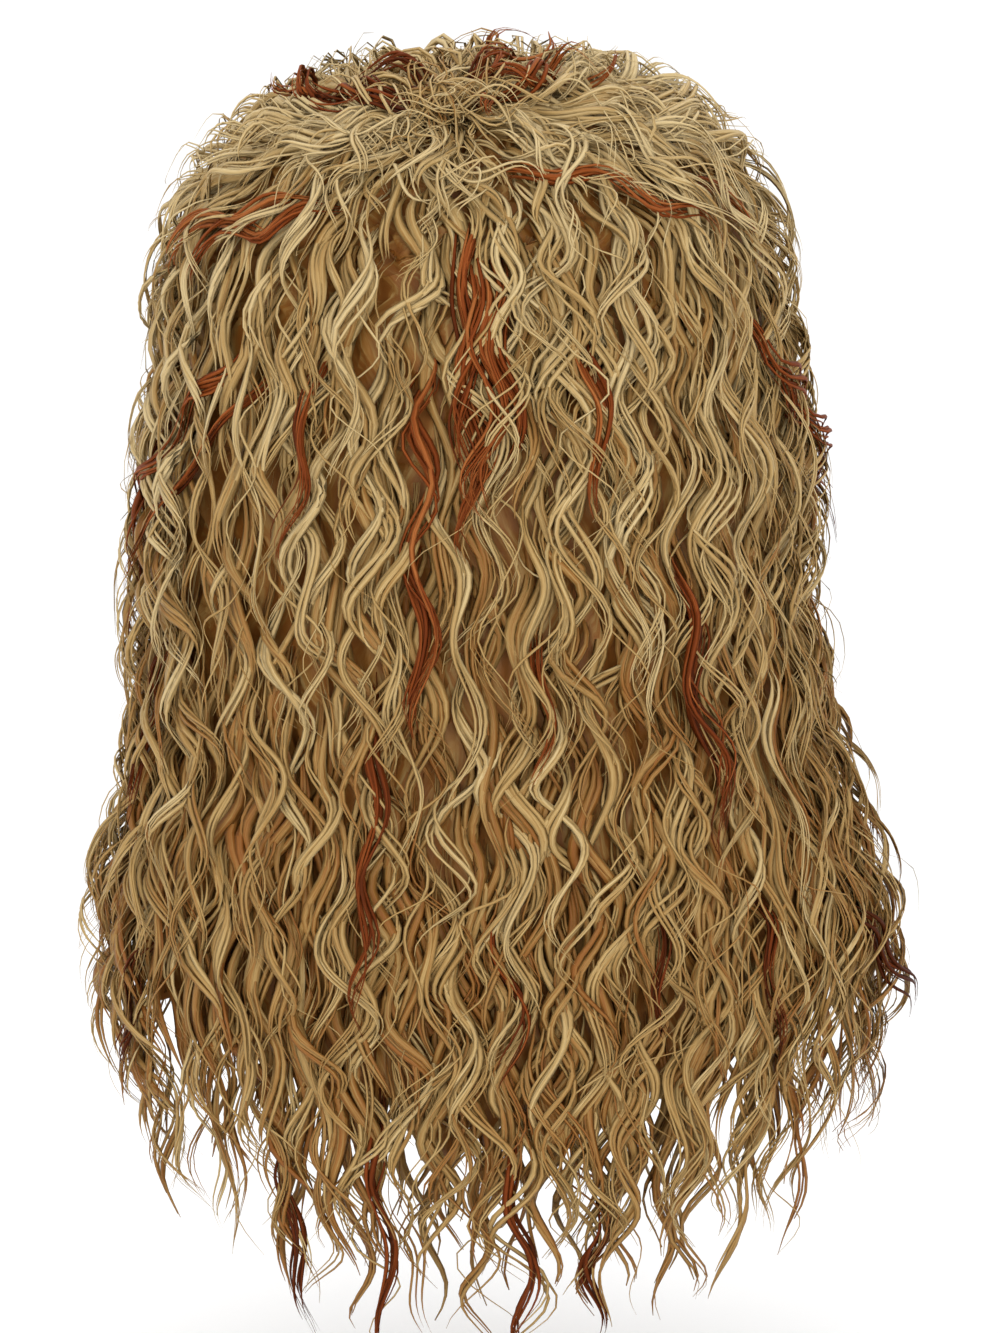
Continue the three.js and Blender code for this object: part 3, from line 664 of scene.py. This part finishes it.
# A closed panel of the cap: the ellipsoid's surface between two shares of the way down to the rim, and the
# same surface a wall further out. It goes all round, and a panel with a pole is closed at the top by two
# fans. Its fibre is the sine and cosine of the angle round the cap and the length down it.
def capPanel(panel):
    columns, rows = 120, panel["rows"]
    across, down = np.meshgrid(np.arange(columns) / columns, np.linspace(0, 1, rows), indexing="ij")
    low, high = panel["shares"]
    polar = rimPolar(360 * across) * (low + (high - low) * down) + panel.get("below", 0) / form["capCrown"]
    polar = polar + panel.get("height", 0) / form["capCrown"] * down
    inside = capPoint(360 * across, polar, panel["inner"])
    outside = capPoint(360 * across, polar, panel["outer"])
    turn = 2 * math.pi * across
    place = np.stack([np.sin(turn), np.cos(turn), polar * form["capLength"] / 2], -1).reshape(-1, 3)
    tops = capPoint(np.zeros(2), np.zeros(2), np.array([panel["inner"], panel["outer"]]))
    points = np.concatenate([inside.reshape(-1, 3), outside.reshape(-1, 3), tops])
    start = np.arange(columns) * rows
    end, shift = np.roll(start, -1), columns * rows
    fans = np.concatenate([
        np.stack([end, start, np.full(columns, 2 * shift)], -1),
        np.stack([start + shift, end + shift, np.full(columns, 2 * shift + 1)], -1),
    ])
    pole = panel.get("pole", False)
    return {
        "points": points if pole else points[:-2],
        "quads": wallFaces(columns, rows, ring=True, pole=pole)[:, ::-1],
        "triangles": fans if pole else fans[:0],
        "fibre": np.concatenate([place, place, np.zeros((2 * pole, 3))]),
        "tone": np.full(2 * shift + 2 * pole, 0.5),
    }


# Short stitches across a seam that runs round the cap at a share of the way to the rim: each a thread that
# stands off the wall on half a sine, inwards where lift is negative.
def capStitches(seam):
    count = seam["stitches"]
    t = np.linspace(0, 1, 5)[None, :]
    angle = 360 * (np.arange(count)[:, None] + 0.5 * t * seam["slant"]) / count
    polar = rimPolar(angle) * seam["share"] + (seam["below"] + seam["reach"] * (t - 0.5)) / form["capCrown"]
    lift = seam["lift"] * np.sin(math.pi * t)
    wall = capPoint(angle, polar, 0)
    out = unit(capPoint(angle, polar, 1) - wall)
    line = wall + out * lift[..., None]
    width = np.full(line.shape[:2], seam["width"])
    out = out * np.sign(seam["lift"])
    return ribbons(line, out, width, np.zeros(line.shape[:2]), np.full(line.shape[:2], 0.8))


# Knitted net: two crossing families of threads, as sines of the length down the cap plus and minus the angle
# round it, in colour and bump. around is the whole number of threads that a family has round the cap.
def netMaterial(name, dark, light, pitch, around):
    material, nodes, links, shader = newMaterial(name)
    place = nodes.new("ShaderNodeAttribute")
    place.attribute_name = "fibre"
    parts = nodes.new("ShaderNodeSeparateXYZ")
    links.new(place.outputs["Vector"], parts.inputs["Vector"])
    angle = nodes.new("ShaderNodeMath")
    angle.operation = "ARCTAN2"
    links.new(parts.outputs["X"], angle.inputs[0])
    links.new(parts.outputs["Y"], angle.inputs[1])
    down = nodes.new("ShaderNodeMath")
    down.operation = "MULTIPLY"
    down.inputs[1].default_value = 2 * math.pi / pitch
    links.new(parts.outputs["Z"], down.inputs[0])
    waves = []
    for sign in (1, -1):
        sloped = nodes.new("ShaderNodeMath")
        sloped.operation = "MULTIPLY_ADD"
        sloped.inputs[1].default_value = sign * around
        links.new(angle.outputs["Value"], sloped.inputs[0])
        links.new(down.outputs["Value"], sloped.inputs[2])
        wave = nodes.new("ShaderNodeMath")
        wave.operation = "SINE"
        links.new(sloped.outputs["Value"], wave.inputs[0])
        waves.append(wave)
    both = nodes.new("ShaderNodeMath")
    both.operation = "MAXIMUM"
    links.new(waves[0].outputs["Value"], both.inputs[0])
    links.new(waves[1].outputs["Value"], both.inputs[1])
    colours = nodes.new("ShaderNodeValToRGB")
    colours.color_ramp.elements[0].position = 0.1
    colours.color_ramp.elements[0].color = (*dark, 1)
    colours.color_ramp.elements[1].position = 0.9
    colours.color_ramp.elements[1].color = (*light, 1)
    links.new(both.outputs["Value"], colours.inputs["Fac"])
    links.new(colours.outputs["Color"], shader.inputs["Base Color"])
    bump = nodes.new("ShaderNodeBump")
    bump.inputs["Strength"].default_value = 0.7
    bump.inputs["Distance"].default_value = 0.0006
    links.new(both.outputs["Value"], bump.inputs["Height"])
    links.new(bump.outputs["Normal"], shader.inputs["Normal"])
    shader.inputs["Roughness"].default_value = 0.85
    shader.inputs["Specular IOR Level"].default_value = 0.2
    return material


capParts = {
    "crownNet": {"shares": (0.012, 0.5), "rows": 20, "inner": 0.0, "outer": 0.0018, "pole": True},
    "sideNet": {"shares": (0.5, 1.0), "rows": 24, "inner": 0.0, "outer": 0.0018, "below": 0.0003},
    "edgeBand": {
        "shares": (1.0, 1.0), "rows": 6, "inner": -0.001, "outer": 0.0018, "below": 0.0004, "height": 0.011,
    },
    "seamStitches": {
        "stitches": 150, "slant": 0.9, "share": 0.5, "below": 0.0002, "reach": 0.006, "lift": -0.0009,
        "width": 0.0009,
    },
    "bandStitches": {
        "stitches": 220, "slant": 0.9, "share": 1.0, "below": 0.0005, "reach": 0.006, "lift": -0.0012,
        "width": 0.0009,
    },
}
netCloth = netMaterial("netCloth", (0.02, 0.012, 0.008), (0.11, 0.075, 0.048), 0.0028, 154)
elasticCloth = netMaterial("elasticCloth", (0.012, 0.008, 0.005), (0.055, 0.036, 0.024), 0.0016, 19)
seams = [capPanel(capParts["crownNet"]), capStitches(capParts["seamStitches"])]
makePiece("crown_net_cloth", seams, netCloth, ["crown_net"])
makePiece("side_net_cloth", [capPanel(capParts["sideNet"])], netCloth, ["side_net"])
seams = [capPanel(capParts["edgeBand"]), capStitches(capParts["bandStitches"])]
makePiece("edge_band_elastic", seams, elasticCloth, ["edge_band"])
print("cap finished")


# A plain pale floor that curves up behind into a backdrop: a profile carried along a straight line.
def makeStage():
    floorLevel = frameBox[0][2] - 0.03
    turn = np.linspace(0, math.pi / 2, 16)
    profile = np.concatenate([
        [[-6.0, floorLevel]],
        np.stack([2.2 + 1.5 * np.sin(turn), floorLevel + 1.5 - 1.5 * np.cos(turn)], -1),
        [[3.7, floorLevel + 6]],
    ])
    count = len(profile)
    points = np.stack([
        np.repeat([-7.0, 7.0], count), np.tile(profile[:, 0], 2), np.tile(profile[:, 1], 2)
    ], -1)
    faces = [(i, count + i, count + i + 1, i + 1) for i in range(count - 1)]
    mesh = bpy.data.meshes.new("floor")
    mesh.from_pydata(points.tolist(), [], faces)
    material, nodes, links, shader = newMaterial("paleFloor")
    shader.inputs["Base Color"].default_value = (0.93, 0.93, 0.93, 1)
    shader.inputs["Roughness"].default_value = 0.9
    mesh.materials.append(material)
    floor = bpy.data.objects.new("floor", mesh)
    bpy.context.scene.collection.objects.link(floor)


def aimed(thing, place, target):
    thing.location = place
    thing.rotation_euler = (Vector(target) - Vector(place)).to_track_quat("-Z", "Y").to_euler()
    bpy.context.scene.collection.objects.link(thing)


view = {"middle": (0.0, -0.02, -0.238), "height": 0.5865, "lens": 85, "sensor": 36, "rise": 3}


def makeCamera():
    camera = bpy.data.cameras.new("camera")
    camera.lens = view["lens"]
    camera.sensor_width = view["sensor"]
    distance = view["height"] * view["lens"] / view["sensor"]
    x, y, z = view["middle"]
    rise = math.radians(view["rise"])
    held = bpy.data.objects.new("camera", camera)
    aimed(held, (x, y - distance * math.cos(rise), z + distance * math.sin(rise)), view["middle"])
    bpy.context.scene.camera = held


lightTable = {
    "keyLight": {"place": (-0.8, -1.9, 0.8), "size": 1.4, "power": 7},
    "fillLight": {"place": (0.35, -2.2, -0.1), "size": 1.0, "power": 11},
    "topLight": {"place": (0.1, 0.3, 1.5), "size": 1.2, "power": 8},
}


def makeLights():
    for name, light in lightTable.items():
        lamp = bpy.data.lights.new(name, "AREA")
        lamp.size = light["size"]
        lamp.energy = light["power"]
        aimed(bpy.data.objects.new(name, lamp), light["place"], (0, 0, -0.22))
    world = bpy.data.worlds.new("studio")
    world.use_nodes = True
    background = world.node_tree.nodes["Background"]
    background.inputs["Color"].default_value = (1, 1, 1, 1)
    background.inputs["Strength"].default_value = 1.1
    bpy.context.scene.world = world
    bpy.context.scene.view_settings.view_transform = "Standard"


makeStage()
makeCamera()
makeLights()
print("studio ready")
